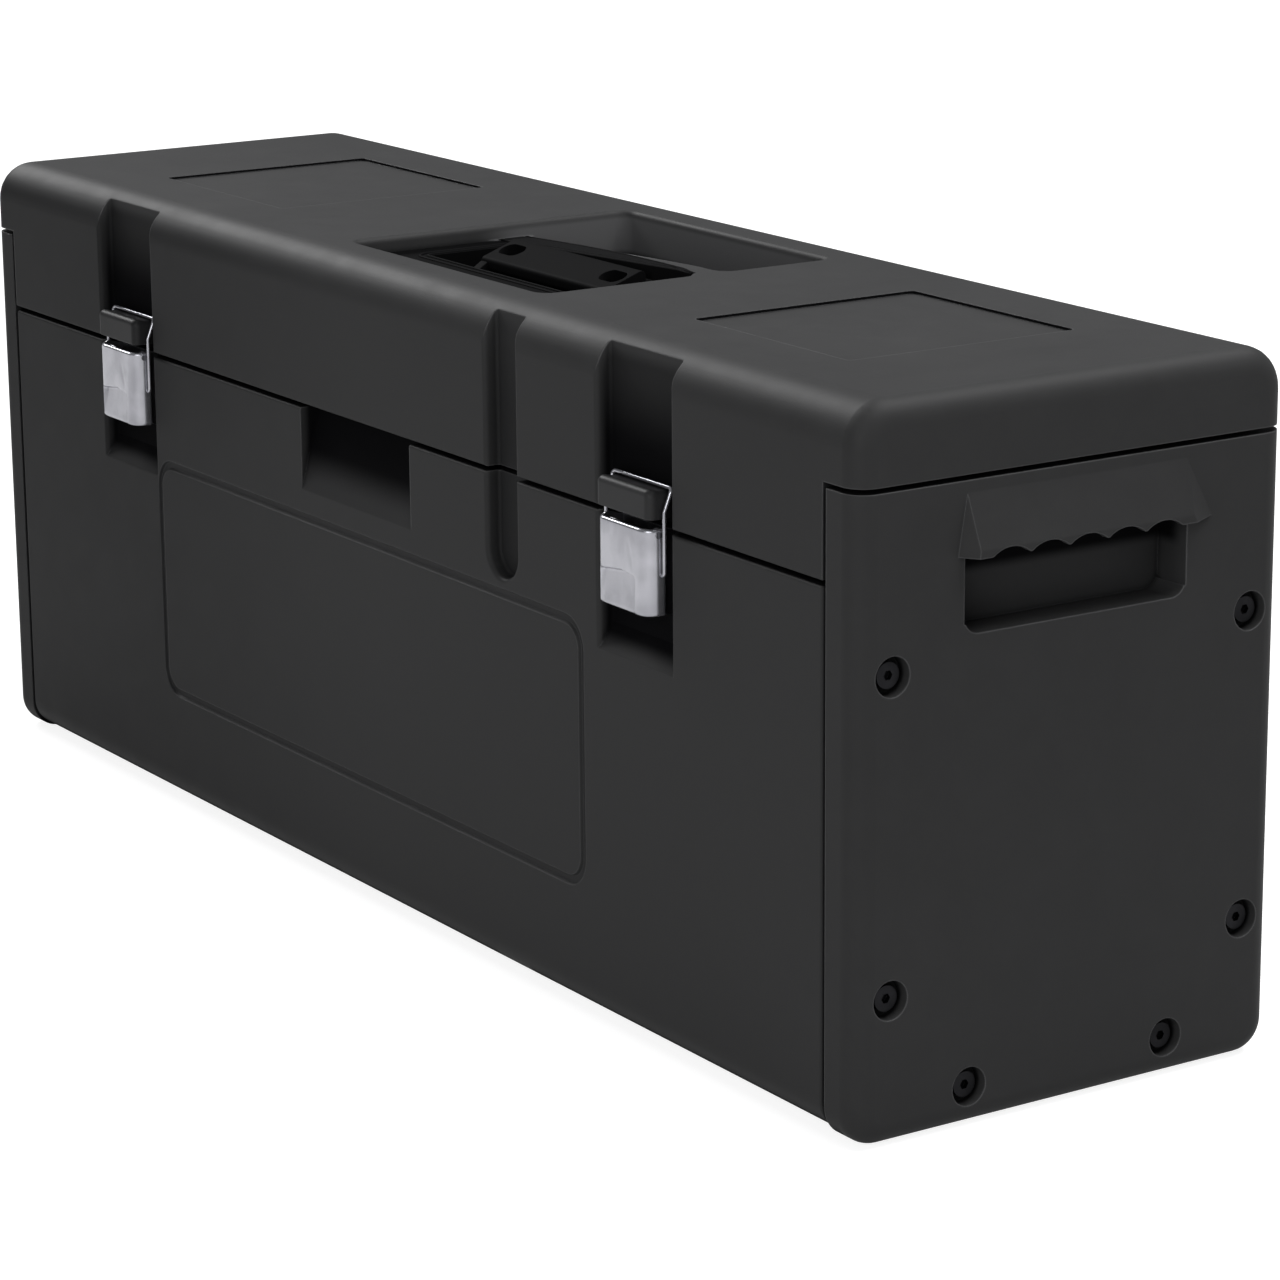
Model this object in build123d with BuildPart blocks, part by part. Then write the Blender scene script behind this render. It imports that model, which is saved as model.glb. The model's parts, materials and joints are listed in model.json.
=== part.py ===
from build123d import *
import os
from math import cos, radians, sin, sqrt, tan

# Long moulded carrying case: a body with a cap screwed to each end, a hinged lid, two draw latches,
# and a handle that folds into the lid. Sizes are in millimetres.
# X runs along the case, the front faces -Y and Z is up. The origin is on the floor, under the middle.

# Outer size of the case
case_length = 840.0
case_depth = 235.0
lid_height = 80.4
wall = 4.5

# Lines where the mouldings meet
seam = 2.4
lid_seam_height = 249.6
cap_rise = 43.1
cap_wrap = 23.5
cap_drop = 2.0

# Rounded edges of the mouldings
top_edge_radius = 20.0
floor_edge_radius = 16.0
end_edge_radius = 11.0
seam_edge_radius = 1.2

# Rim round the mouth of the case, and the seal in it
rim_width = 18.5
rim_height = 8.0
seal_inset = 13.0
seal_width = 4.0
seal_groove_depth = 1.5
seal_side_gap = 0.2

# Shapes moulded into the front
channel_width = 60.0
channel_depth = 8.0
channel_drop = 66.6
channel_ramp = 12.0
groove_x = 134.8
groove_width = 26.5
groove_depth = 7.5
groove_drop = 50.8
soft_edge = 2.2
soft_floor = 1.6
backing = 4.0
pull_x = -6.0
pull_width = 110.0
pull_depth = 11.5
pull_drop = 43.6
panel_x = -9.0
panel_drop = 121.6
panel_length = 430.0
panel_width = 132.0
panel_corner = 16.0
panel_line = 5.0
panel_depth = 1.6

# Shallow fields on top of the lid
field_width = 125.0
field_depth = 1.5
field_corner = 3.0
left_field_x = -243.0
left_field_length = 134.0
right_field_x = 277.0
right_field_length = 122.0

# Handle well and the pocket behind it, in the top of the lid
well_x = 28.0
well_length = 184.0
well_front = -83.0
well_back = 3.0
well_depth = 11.2
well_corner = 7.0
well_floor = 4.0
pocket_front = 19.5
pocket_back = 82.5
pocket_depth = 24.0
lid_soft_edge = 3.0
ridge_dip = 8.0
ridge_level = 12.0

# Handle tray
tray_gap = 0.3
tray_flange = 3.0
basin_length = 144.0
basin_front = -49.0
basin_back = -3.0
basin_drop = 38.0
basin_wall = 2.5
tray_screw_x = 80.0
tray_screw_y = [-65.0, -15.0]
tray_screw_radius = 1.5
tray_screw_head = 3.0
tray_screw_head_height = 2.0
tray_screw_bite = 2.0

# Carry handle
handle_length = 117.0
handle_pivot_y = -41.0
handle_pivot_drop = 26.0
grip_front = -27.0
grip_back = -3.6
grip_front_drop = 9.5
grip_tilt = 20.0
grip_thickness = 7.0
handle_arm = 6.0
handle_boss_radius = 5.5
rest_pad_x = 34.0
rest_pad_width = 5.0
rest_pad_length = 6.0
handle_slot_x = 47.0
handle_slot_length = 18.0
handle_slot_width = 10.5
handle_pin_radius = 2.5
handle_pin_grip = 12.5
lug_gap = 0.5
lug_width = 6.0
pin_clearance = 0.05

# Hand grips in the end caps
grip_hole_width = 122.0
grip_hole_drop = 11.7
grip_hole_height = 57.0
grip_hole_depth = 19.5
grip_hole_corner = 8.0
hood_width = 120.0
hood_spread_front = 4.0
hood_spread_back = 13.0
hood_tip_inset = 1.5
hood_drop = 6.7
hood_height = 24.0
hood_edge = 3.5
hood_reach = 8.0
hood_wall = 3.5
scallop_count = 5
scallop_pitch = 21.0
scallop_radius = 16.0
scallop_rise = 3.5

# Screws that hold the end caps
cap_screw_side = 19.0
cap_screw_drop = 38.1
cap_screw_rise = 67.3
cap_screw_foot = 19.0
cap_screw_foot_y = 55.5
cap_screw_pocket_radius = 9.0
cap_screw_pocket_depth = 8.0
cap_boss_radius = 11.5
cap_screw_radius = 2.5
cap_screw_clearance = 0.3
cap_screw_head_radius = 6.0
cap_screw_head_height = 4.5
cap_screw_socket = 4.0
cap_screw_socket_depth = 2.5
shell_boss_radius = 7.0
shell_boss_length = 9.0
cap_screw_bite = 10.0

# Hinges at the back
hinge_centres = [-250.0, 0.0, 250.0]
hinge_length = 70.0
knuckle_count = 5
knuckle_gap = 0.4
knuckle_radius = 3.5
hinge_pin_radius = 1.5
leaf_thickness = 1.5
leaf_height = 32.0
leaf_clearance = 4.0
rivet_pitch = 24.0
rivet_drop = 20.0
rivet_radius = 1.8
rivet_head_radius = 3.5
rivet_head_height = 1.1
rivet_clearance = 0.05

# Stops that hold the open lid
stop_centres = [-350.0, -125.0, 125.0, 350.0]
stop_width = 24.0
stop_height = 13.0
lid_swing = 101.0

# Draw latches
latch_centres = [-255.5, 249.5]
lever_width = 44.0
lever_drop = 0.3
lever_length = 40.3
lever_proud = 7.5
lever_depth = 10.0
lever_corner = 4.5
lever_sheet = 1.2
latch_pivot_proud = 1.0
latch_pivot_drop = 3.1
latch_pin_radius = 1.5
wire_radius = 0.9
latch_swing = 18.5
wire_pivot_inset = 0.7
wire_side_gap = 1.0
wire_bend_rise = 7.4
wire_bar_rise = 18.0
wire_bar_inset = 5.0
wire_corner = 2.0
wire_tail = 0.8
base_sheet = 1.2
base_length = 39.0
base_gap = 0.4
base_side = 4.6
base_corner = 3.5
ear_drop = 8.5
ear_gap = 0.4
ear_radius = 3.5
latch_rivet_x = 10.0
latch_rivet_drops = [11.0, 28.0]

# Keepers on the lid
keeper_width = 44.6
keeper_gap = 2.8
keeper_proud = 6.5
keeper_seat_gap = 0.3
keeper_corner = 4.0
keeper_edge = 3.0
keeper_foot_edge = 0.8
keeper_screw_x = 12.0
keeper_screw_rise = 9.0
keeper_screw_radius = 1.6
keeper_screw_head = 3.2
keeper_screw_head_height = 1.8
keeper_screw_bite = 8.0
keeper_boss_depth = 8.0
keeper_boss_height = 15.0

# Places that follow from the sizes above
air = 30.0
half_length = case_length / 2
half_depth = case_depth / 2
front = -half_depth
case_height = lid_seam_height + lid_height
cap_seam_height = lid_seam_height + cap_rise
channel_foot = lid_seam_height - channel_drop
groove_foot = lid_seam_height - groove_drop
pull_foot = lid_seam_height - pull_drop
panel_height = lid_seam_height - panel_drop
shell_end = half_length - cap_wrap - seam / 2
cap_start = half_length - cap_wrap + seam / 2
body_top = lid_seam_height - seam / 2
lid_bottom = lid_seam_height + seam / 2
cap_top = cap_seam_height - seam / 2
lid_end_bottom = cap_seam_height + seam / 2
channel_floor = front + channel_depth
well_ledge = case_height - well_depth
tray_top = well_ledge + tray_flange
basin_floor = case_height - basin_drop
handle_pivot_z = case_height - handle_pivot_drop
grip_front_height = case_height - grip_front_drop
grip_face = half_length - grip_hole_depth
grip_hole_high = cap_seam_height - grip_hole_drop
grip_hole_low = grip_hole_high - grip_hole_height
hood_high = cap_seam_height - hood_drop
hood_lip = hood_high - hood_height
hood_low = hood_lip - hood_edge
screw_face = half_length - cap_screw_pocket_depth
cap_screw_places = [(half_depth - cap_screw_side, lid_seam_height - cap_screw_drop),
                    (half_depth - cap_screw_side, cap_screw_rise), (cap_screw_foot_y, cap_screw_foot)]
hinge_y = half_depth + leaf_clearance
latch_y = front - latch_pivot_proud
wire_y = front + wire_pivot_inset
lever_front = front - lever_proud
base_half = lever_width / 2 - lever_sheet - ear_gap
wire_x = lever_width / 2 + wire_side_gap + wire_radius
keeper_front = front - keeper_proud
lever_top = lid_seam_height - lever_drop
lever_bottom = lever_top - lever_length
latch_pivot_height = lid_seam_height - latch_pivot_drop
wire_pivot_height = latch_pivot_height - latch_swing
wire_bend_height = lid_seam_height + wire_bend_rise
wire_bar_height = lid_seam_height + wire_bar_rise
latch_rivet_heights = [latch_pivot_height - drop for drop in latch_rivet_drops]
base_top = body_top - base_gap
keeper_bottom = lid_bottom + keeper_gap
keeper_screw_height = lid_bottom + keeper_screw_rise
keeper_screw_face = channel_floor + keeper_boss_depth
lug_start = handle_length / 2 + lug_gap
grip_back_height = grip_front_height + (grip_back - grip_front) * tan(radians(grip_tilt))
grip_drop = grip_thickness / cos(radians(grip_tilt))
rest_pad_front = basin_back - rest_pad_length
rest_pad_top = grip_front_height + (rest_pad_front - grip_front) * tan(radians(grip_tilt)) - grip_drop
os.makedirs("parts", exist_ok=True)


def save(piece, name):
    """Label a finished piece and write it to its own file."""
    piece.label = name
    export_step(piece, f"parts/{name}.step")


def block(x, y, z, mode=Mode.ADD):
    """Box between two limits along each axis."""
    with Locations(((x[0] + x[1]) / 2, (y[0] + y[1]) / 2, (z[0] + z[1]) / 2)):
        Box(x[1] - x[0], y[1] - y[0], z[1] - z[0], mode=mode)


def rounded_bar(x, half_width, z, low_radius, high_radius, end_radius, ends):
    """Bar along X with two long edges rounded, and the loop round each named end rounded as well."""
    with BuildPart() as bar:
        with BuildSketch(Plane.YZ.offset(x[0])) as section:
            with Locations((0, (z[0] + z[1]) / 2)):
                Rectangle(2 * half_width, z[1] - z[0])
            if low_radius:
                fillet(section.vertices().group_by(Axis.Y)[0], low_radius)
            if high_radius:
                fillet(section.vertices().group_by(Axis.Y)[-1], high_radius)
        extrude(amount=x[1] - x[0])
        open_height = z[0] if high_radius else z[1]
        for end in ends:
            loop = bar.faces().sort_by(Axis.X)[end].edges()
            fillet(loop.filter_by(lambda edge: abs(edge.center().Z - open_height) > 0.01), end_radius)
    return bar.part


def channel_section(width, depth):
    """Section of a channel in the front wall, with soft outer edges and rounded floor corners."""
    with BuildSketch() as section:
        with Locations((0, front - air / 2)):
            Rectangle(width + 4 * soft_edge, air)
        with Locations((0, front + depth / 2)):
            Rectangle(width, depth)
        corners = section.vertices().filter_by(lambda corner: abs(abs(corner.X) - width / 2) < 0.01)
        fillet(corners.filter_by(lambda corner: abs(corner.Y - front) < 0.01), soft_edge)
        fillet(section.vertices().group_by(Axis.Y)[-1], soft_floor)
    return section.sketch


def rim_frame(low, high, outer_inset, inner_inset, mode=Mode.ADD):
    """Rectangular frame that follows the case wall, between two distances in from its outside."""
    with BuildSketch(Plane.XY.offset(low)) as frame:
        Rectangle(2 * (shell_end - outer_inset), 2 * (half_depth - outer_inset))
        Rectangle(2 * (shell_end - inner_inset), 2 * (half_depth - inner_inset), mode=Mode.SUBTRACT)
    extrude(frame.sketch, amount=high - low, mode=mode)


# Cutters shared by the lid and the body
with BuildPart() as latch_channel:
    with BuildSketch(Plane.XY.offset(channel_foot)):
        add(channel_section(channel_width, channel_depth))
    extrude(amount=case_height + air - channel_foot)
    ramp = Plane((0, front, channel_foot), x_dir=(1, 0, 0), z_dir=(0, -channel_ramp, channel_depth))
    split(bisect_by=ramp, keep=Keep.TOP)

groove_turn = groove_foot + groove_width / 2
with BuildPart() as front_groove:
    with BuildSketch(Plane.XY.offset(groove_turn)):
        add(channel_section(groove_width, groove_depth))
    extrude(amount=case_height + air - groove_turn)
    with BuildSketch(Plane.XY.offset(groove_turn)):
        add(channel_section(groove_width, groove_depth))
        with Locations((groove_width, front)):
            Rectangle(2 * groove_width, 3 * air, mode=Mode.INTERSECT)
    revolve(axis=Axis((0, 0, groove_turn), (0, 1, 0)), revolution_arc=180)


def front_backing(low, high):
    """Extra wall behind the latch channels and the groove."""
    for x in latch_centres:
        half = channel_width / 2 + backing
        block((x - half, x + half), (front + wall, channel_floor + backing), (low[0], high))
    half = groove_width / 2 + backing
    block((groove_x - half, groove_x + half), (front + wall, front + groove_depth + backing), (low[1], high))


def cut_front_channels():
    """Take the latch channels and the groove out of the piece that is being made."""
    with Locations([(x, 0, 0) for x in latch_centres]):
        add(latch_channel.part, mode=Mode.SUBTRACT)
    with Locations((groove_x, 0, 0)):
        add(front_groove.part, mode=Mode.SUBTRACT)


def lid_stops(side):
    """Gussets on the back, with side 1 on the lid and -1 on the body, that meet when the lid is open."""
    near = lid_seam_height + side * seam / 2
    slope = side * tan(radians(lid_swing / 2))
    tip = hinge_y + knuckle_radius
    for x in stop_centres:
        with BuildSketch(Plane.YZ.offset(x - stop_width / 2)) as section:
            with BuildLine():
                Polyline((half_depth - 2, near + side * 1.5), (half_depth - 0.5, near),
                         (hinge_y + (near - lid_seam_height) / slope, near),
                         (tip, lid_seam_height + knuckle_radius * slope),
                         (half_depth, near + side * stop_height), (half_depth - 2, near + side * stop_height),
                         close=True)
            make_face()
        extrude(section.sketch, amount=stop_width)


def hole_along_y(x, z, y, radius, mode=Mode.SUBTRACT):
    """Round hole or rod along Y, between two places."""
    with BuildSketch(Plane.XZ.offset(-y[0])) as section:
        with Locations((x, z)):
            Circle(radius)
    extrude(section.sketch, amount=y[0] - y[1], mode=mode)


# Body shell
with BuildPart() as body_shell:
    add(rounded_bar((-shell_end, shell_end), half_depth, (cap_drop, body_top), floor_edge_radius, 0,
                    seam_edge_radius, (0, -1)))
    rim_edges = body_shell.edges().filter_by(Axis.X).group_by(Axis.Z)[-1]
    fillet(rim_edges, seam_edge_radius)
    add(rounded_bar((wall - shell_end, shell_end - wall), half_depth - wall,
                    (cap_drop + wall, body_top + air), floor_edge_radius - wall, 0, soft_floor, (0, -1)),
        mode=Mode.SUBTRACT)
    rim_frame(body_top - rim_height, body_top, wall, rim_width)
    front_backing((channel_foot - backing, groove_foot - backing), body_top)
    pull_low = pull_foot - backing
    block((pull_x - pull_width / 2 - backing, pull_x + pull_width / 2 + backing),
          (front + wall, front + pull_depth + backing), (pull_low, body_top))
    cut_front_channels()
    with BuildSketch(Plane.YZ.offset(pull_x - pull_width / 2)):
        with BuildLine():
            Polyline((front, pull_foot), (front + pull_depth, body_top), (front + pull_depth, body_top + air),
                     (front - air, body_top + air), (front - air, pull_foot), close=True)
        make_face()
    extrude(amount=pull_width, mode=Mode.SUBTRACT)
    rim_frame(body_top - seal_groove_depth, body_top + air, seal_inset - seal_side_gap,
              seal_inset + seal_width + seal_side_gap, mode=Mode.SUBTRACT)
    with BuildSketch(Plane.XZ.offset(half_depth)):
        with Locations((panel_x, panel_height)):
            RectangleRounded(panel_length, panel_width, panel_corner)
            RectangleRounded(panel_length - 2 * panel_line, panel_width - 2 * panel_line,
                             panel_corner - panel_line, mode=Mode.SUBTRACT)
    extrude(amount=-panel_depth, taper=30, mode=Mode.SUBTRACT)
    for side in (-1, 1):
        for y, z in cap_screw_places:
            with BuildSketch(Plane.YZ.offset(side * (shell_end - wall))):
                with Locations((y, z), (-y, z)):
                    Circle(shell_boss_radius)
            extrude(amount=-side * (shell_boss_length - wall))
            with BuildSketch(Plane.YZ.offset(side * shell_end)):
                with Locations((y, z), (-y, z)):
                    Circle(cap_screw_radius + rivet_clearance)
            extrude(amount=-side * (cap_screw_bite - seam), mode=Mode.SUBTRACT)
    for x in latch_centres:
        for z in latch_rivet_heights:
            for place in (x - latch_rivet_x, x + latch_rivet_x):
                hole_along_y(place, z, (channel_floor - 1, channel_floor + backing + 1), rivet_radius + rivet_clearance)
    for x in hinge_centres:
        for place in (x - rivet_pitch, x, x + rivet_pitch):
            hole_along_y(place, lid_seam_height - rivet_drop, (half_depth - wall - 1, half_depth + 1),
                         rivet_radius + rivet_clearance)
    lid_stops(-1)
print("body_shell", body_shell.part.is_valid, len(body_shell.part.solids()))
save(body_shell.part, "body_shell")


# Lid shell, with the space inside it made first
well_right = well_x + well_length / 2
well_left = well_x - well_length / 2
with BuildPart() as lid_space:
    add(rounded_bar((wall - shell_end, shell_end - wall), half_depth - wall,
                    (lid_bottom - air, lid_end_bottom + wall + 5), 0, 0, soft_floor, (0, -1)))
    add(rounded_bar((wall - half_length, half_length - wall), half_depth - wall,
                    (lid_end_bottom + wall, case_height - wall), 0, top_edge_radius - wall,
                    end_edge_radius - wall, (0, -1)))
    rim_frame(lid_bottom, lid_bottom + rim_height, 0, rim_width, mode=Mode.SUBTRACT)
    for x in latch_centres:
        half = channel_width / 2 + backing
        block((x - half, x + half), (front, channel_floor + backing), (lid_bottom - 1, case_height),
              mode=Mode.SUBTRACT)
        block((x - keeper_width / 2, x + keeper_width / 2), (front, keeper_screw_face),
              (lid_bottom - 1, lid_bottom + keeper_boss_height), mode=Mode.SUBTRACT)
    half = groove_width / 2 + backing
    block((groove_x - half, groove_x + half), (front, front + groove_depth + backing),
          (lid_bottom - 1, case_height), mode=Mode.SUBTRACT)
    block((well_left - wall, well_right + wall), (well_front - wall, pocket_front),
          (well_ledge - well_floor, case_height), mode=Mode.SUBTRACT)
    block((well_left - wall, well_right + wall), (pocket_front - wall, pocket_back + wall),
          (case_height - pocket_depth - wall, case_height), mode=Mode.SUBTRACT)

with BuildPart() as lid_shell:
    add(rounded_bar((-half_length, half_length), half_depth, (lid_end_bottom, case_height), 0,
                    top_edge_radius, end_edge_radius, (0, -1)))
    block((-shell_end, shell_end), (-half_depth, half_depth), (lid_bottom, lid_end_bottom + 5))
    skirt_edges = lid_shell.edges().filter_by(lambda edge: abs(edge.center().Z - lid_bottom) < 0.01)
    fillet(skirt_edges, seam_edge_radius)
    add(lid_space.part, mode=Mode.SUBTRACT)
    cut_front_channels()
    with BuildSketch(Plane.XY.offset(case_height)):
        with Locations((left_field_x, 0)):
            RectangleRounded(left_field_length, field_width, field_corner)
        with Locations((right_field_x, 0)):
            RectangleRounded(right_field_length, field_width, field_corner)
    extrude(amount=-field_depth, mode=Mode.SUBTRACT)
    with BuildSketch(Plane.XY.offset(case_height)):
        with Locations((well_x, (well_front + well_back) / 2)):
            RectangleRounded(well_length, well_back - well_front, well_corner)
    extrude(amount=-well_depth, mode=Mode.SUBTRACT)
    with BuildSketch(Plane.XY.offset(case_height)):
        with Locations((well_x, (pocket_front + pocket_back) / 2)):
            RectangleRounded(well_length, pocket_back - pocket_front, well_corner)
    extrude(amount=-pocket_depth, mode=Mode.SUBTRACT)
    recess_edges = lid_shell.edges().filter_by(lambda edge: abs(edge.center().Z - case_height) < 0.01)
    recess_edges = recess_edges.filter_by(lambda edge: abs(edge.center().X - well_x) < well_length / 2 + 1)
    recess_edges = recess_edges.filter_by(lambda edge: well_front - 1 < edge.center().Y < pocket_back + 1)
    fillet(recess_edges, lid_soft_edge)
    with BuildSketch(Plane.XZ.offset(well_corner - well_back)):
        with BuildLine():
            Polyline((well_left, case_height - lid_soft_edge), (well_left, case_height - ridge_dip),
                     (well_right - ridge_level, case_height), (well_right - ridge_level, case_height + air),
                     (well_left - lid_soft_edge, case_height + air), (well_left - lid_soft_edge, case_height))
            RadiusArc((well_left - lid_soft_edge, case_height), (well_left, case_height - lid_soft_edge),
                      lid_soft_edge)
        make_face()
    extrude(amount=well_back - pocket_front - 2 * well_corner, mode=Mode.SUBTRACT)
    basin_x = basin_length / 2 + basin_wall + tray_gap
    block((well_x - basin_x, well_x + basin_x),
          (basin_front - basin_wall - tray_gap, basin_back + basin_wall + tray_gap),
          (well_ledge - well_floor - 1, well_ledge + 1), mode=Mode.SUBTRACT)
    with BuildSketch(Plane.XY.offset(well_ledge)):
        for x in (well_x - tray_screw_x, well_x + tray_screw_x):
            with Locations((x, tray_screw_y[0]), (x, tray_screw_y[1])):
                Circle(tray_screw_radius + rivet_clearance)
    extrude(amount=-well_floor, mode=Mode.SUBTRACT)
    for x in latch_centres:
        for place in (x - keeper_screw_x, x + keeper_screw_x):
            hole_along_y(place, keeper_screw_height, (channel_floor - 1, keeper_screw_face + 1),
                         keeper_screw_radius + rivet_clearance)
            hole_along_y(place, keeper_screw_height, (keeper_screw_face, front + rim_width + 1),
                         keeper_screw_head + 4 * rivet_clearance)
    for x in hinge_centres:
        for place in (x - rivet_pitch, x, x + rivet_pitch):
            hole_along_y(place, lid_seam_height + rivet_drop, (half_depth - wall - 1, half_depth + 1),
                         rivet_radius + rivet_clearance)
    lid_stops(1)
print("lid_shell", lid_shell.part.is_valid, len(lid_shell.part.solids()))
save(lid_shell.part, "lid_shell")

# Lid seal, lying in the rim groove
with BuildPart() as lid_seal:
    rim_frame(body_top - seal_groove_depth, lid_bottom, seal_inset, seal_inset + seal_width)
save(lid_seal.part, "lid_seal")


# End caps
def hood_block(outline, half_width, inset):
    """Wedge for the hood over a hand grip, whose sides spread towards its lip."""
    shoulder = hood_width / 2 - inset
    with BuildPart() as wedge:
        with BuildSketch(Plane.XZ.offset(-half_width)):
            with BuildLine():
                Polyline(outline, close=True)
            make_face()
        extrude(amount=2 * half_width)
        for side, spread in ((1, hood_spread_back), (-1, hood_spread_front)):
            across = spread + hood_tip_inset
            drop = hood_high - hood_lip
            outward = (drop * across, side * drop * hood_reach, spread * hood_reach)
            lean = Plane((half_length, side * shoulder, hood_high), x_dir=(0, -outward[2], outward[1]), z_dir=outward)
            split(bisect_by=lean, keep=Keep.BOTTOM)
    return wedge.part


hood_tip = half_length + hood_reach
hood_run = hood_reach / (hood_high - hood_lip)
hood_skin = hood_wall * sqrt(1 + hood_run ** 2)
hood_half = hood_width / 2 + hood_spread_back + hood_edge
hood_outer = hood_block([(half_length - wall, hood_high), (half_length, hood_high), (hood_tip, hood_lip),
                         (hood_tip, hood_low), (half_length - wall, hood_low)], hood_half, 0)
hole_roof = half_length - hood_skin + (hood_high - grip_hole_high) * hood_run
hood_inner = hood_block([(grip_face, grip_hole_high), (hole_roof, grip_hole_high), (hood_tip - hood_skin, hood_lip),
                         (hood_tip - hood_skin, hood_low - air), (grip_face, hood_low - air)],
                        grip_hole_width / 2, hood_wall)
with BuildPart() as end_cap:
    add(rounded_bar((cap_start, half_length), half_depth, (0, cap_top), floor_edge_radius, 0,
                    end_edge_radius, (-1,)))
    add(rounded_bar((cap_start - air, half_length - wall), half_depth - wall, (wall, cap_top - wall),
                    floor_edge_radius - wall, 0, end_edge_radius - wall, (-1,)), mode=Mode.SUBTRACT)
    block((cap_start, half_length - 1), (-grip_hole_width / 2 - backing, grip_hole_width / 2 + backing),
          (grip_hole_low - backing, cap_top - 1))
    with BuildSketch(Plane.YZ.offset(half_length)):
        with Locations((0, (grip_hole_low + grip_hole_high) / 2)):
            Rectangle(grip_hole_width, grip_hole_high - grip_hole_low)
        fillet(vertices().group_by(Axis.Y)[0], grip_hole_corner)
    extrude(amount=-grip_hole_depth, mode=Mode.SUBTRACT)
    add(hood_outer)
    add(hood_inner, mode=Mode.SUBTRACT)
    with BuildSketch(Plane.YZ.offset(half_length)):
        with Locations((0, hood_low + scallop_rise - scallop_radius)):
            with GridLocations(scallop_pitch, 0, scallop_count, 1):
                Circle(scallop_radius)
    extrude(amount=2 * hood_reach, mode=Mode.SUBTRACT)
    for y, z in cap_screw_places:
        for place in (y, -y):
            with BuildSketch(Plane.YZ.offset(shell_end)):
                with Locations((place, z)):
                    Circle(cap_boss_radius)
            extrude(amount=half_length - 1 - shell_end)
            with BuildSketch(Plane.YZ.offset(screw_face)):
                with Locations((place, z)):
                    Circle(cap_screw_pocket_radius)
            extrude(amount=air, mode=Mode.SUBTRACT)
            with BuildSketch(Plane.YZ.offset(shell_end)):
                with Locations((place, z)):
                    Circle(cap_screw_radius + cap_screw_clearance)
            extrude(amount=air, mode=Mode.SUBTRACT)
print("end_cap", end_cap.part.is_valid, len(end_cap.part.solids()))
save(end_cap.part, "end_cap_right")
save(end_cap.part.mirror(Plane.YZ), "end_cap_left")

# Screws of the end caps
for side, name in ((-1, "left"), (1, "right")):
    with BuildPart() as cap_screws:
        for y, z in cap_screw_places:
            for place in (y, -y):
                with BuildSketch(Plane.YZ.offset(side * screw_face)):
                    with Locations((place, z)):
                        Circle(cap_screw_head_radius)
                extrude(amount=side * cap_screw_head_height)
                with BuildSketch(Plane.YZ.offset(side * (screw_face + cap_screw_head_height))):
                    with Locations((place, z)):
                        RegularPolygon(cap_screw_socket / 2, 6, major_radius=False)
                extrude(amount=-side * cap_screw_socket_depth, mode=Mode.SUBTRACT)
                with BuildSketch(Plane.YZ.offset(side * screw_face)):
                    with Locations((place, z)):
                        Circle(cap_screw_radius)
                extrude(amount=-side * (screw_face - cap_start + cap_screw_bite - 0.5))
    save(cap_screws.part, "end_cap_screws_" + name)


def bar_along_x(x, y, z, radius):
    """Round bar along X, between two places."""
    with BuildSketch(Plane.YZ.offset(x[0])) as section:
        with Locations((y, z)):
            Circle(radius)
    return extrude(section.sketch, amount=x[1] - x[0], mode=Mode.PRIVATE)


# Hinge leaves, their rivets and pins
knuckle_pitch = (hinge_length + knuckle_gap) / knuckle_count
knuckle_length = knuckle_pitch - knuckle_gap
knuckle_space = knuckle_radius + knuckle_gap


def hinge_leaf(centre, side, knuckles):
    """Half of a hinge, with side 1 above the pin and -1 below it."""
    near = lid_seam_height + side * knuckle_space
    far = lid_seam_height + side * leaf_height
    with BuildPart() as leaf:
        block((centre - hinge_length / 2, centre + hinge_length / 2), (half_depth, half_depth + leaf_thickness),
              (min(near, far), max(near, far)))
        with BuildSketch(Plane.XZ.offset(-half_depth - leaf_thickness)):
            with Locations((centre, lid_seam_height + side * rivet_drop)):
                with GridLocations(rivet_pitch, 0, 3, 1):
                    Circle(rivet_radius + rivet_clearance)
        extrude(amount=leaf_thickness, mode=Mode.SUBTRACT)
        for number in knuckles:
            start = centre - hinge_length / 2 + number * knuckle_pitch
            block((start, start + knuckle_length), (half_depth, half_depth + leaf_thickness),
                  (min(near, lid_seam_height), max(near, lid_seam_height)))
            add(bar_along_x((start, start + knuckle_length), hinge_y, lid_seam_height, knuckle_radius))
        add(bar_along_x((centre - hinge_length, centre + hinge_length), hinge_y, lid_seam_height,
                        hinge_pin_radius + pin_clearance), mode=Mode.SUBTRACT)
    return leaf.part


for centre, name in zip(hinge_centres, ("left", "middle", "right")):
    save(hinge_leaf(centre, -1, (0, 2, 4)), "hinge_leaf_lower_" + name)
    save(hinge_leaf(centre, 1, (1, 3)), "hinge_leaf_upper_" + name)

with BuildPart() as hinge_pins:
    for centre in hinge_centres:
        add(bar_along_x((centre - hinge_length / 2 - 0.4, centre + hinge_length / 2 + 0.4), hinge_y,
                        lid_seam_height, hinge_pin_radius))
save(hinge_pins.part, "hinge_pins")


def rivet_row(places, z, inner, outer):
    """Rivets along Y with a flat head at each end, between an inner and an outer face."""
    out = 1 if outer > inner else -1
    with BuildPart() as rivets:
        for x in places:
            hole_along_y(x, z, (inner, outer), rivet_radius, mode=Mode.ADD)
            hole_along_y(x, z, (inner - out * rivet_head_height, inner), rivet_head_radius, mode=Mode.ADD)
            hole_along_y(x, z, (outer, outer + out * rivet_head_height), rivet_head_radius, mode=Mode.ADD)
    return rivets.part


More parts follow.
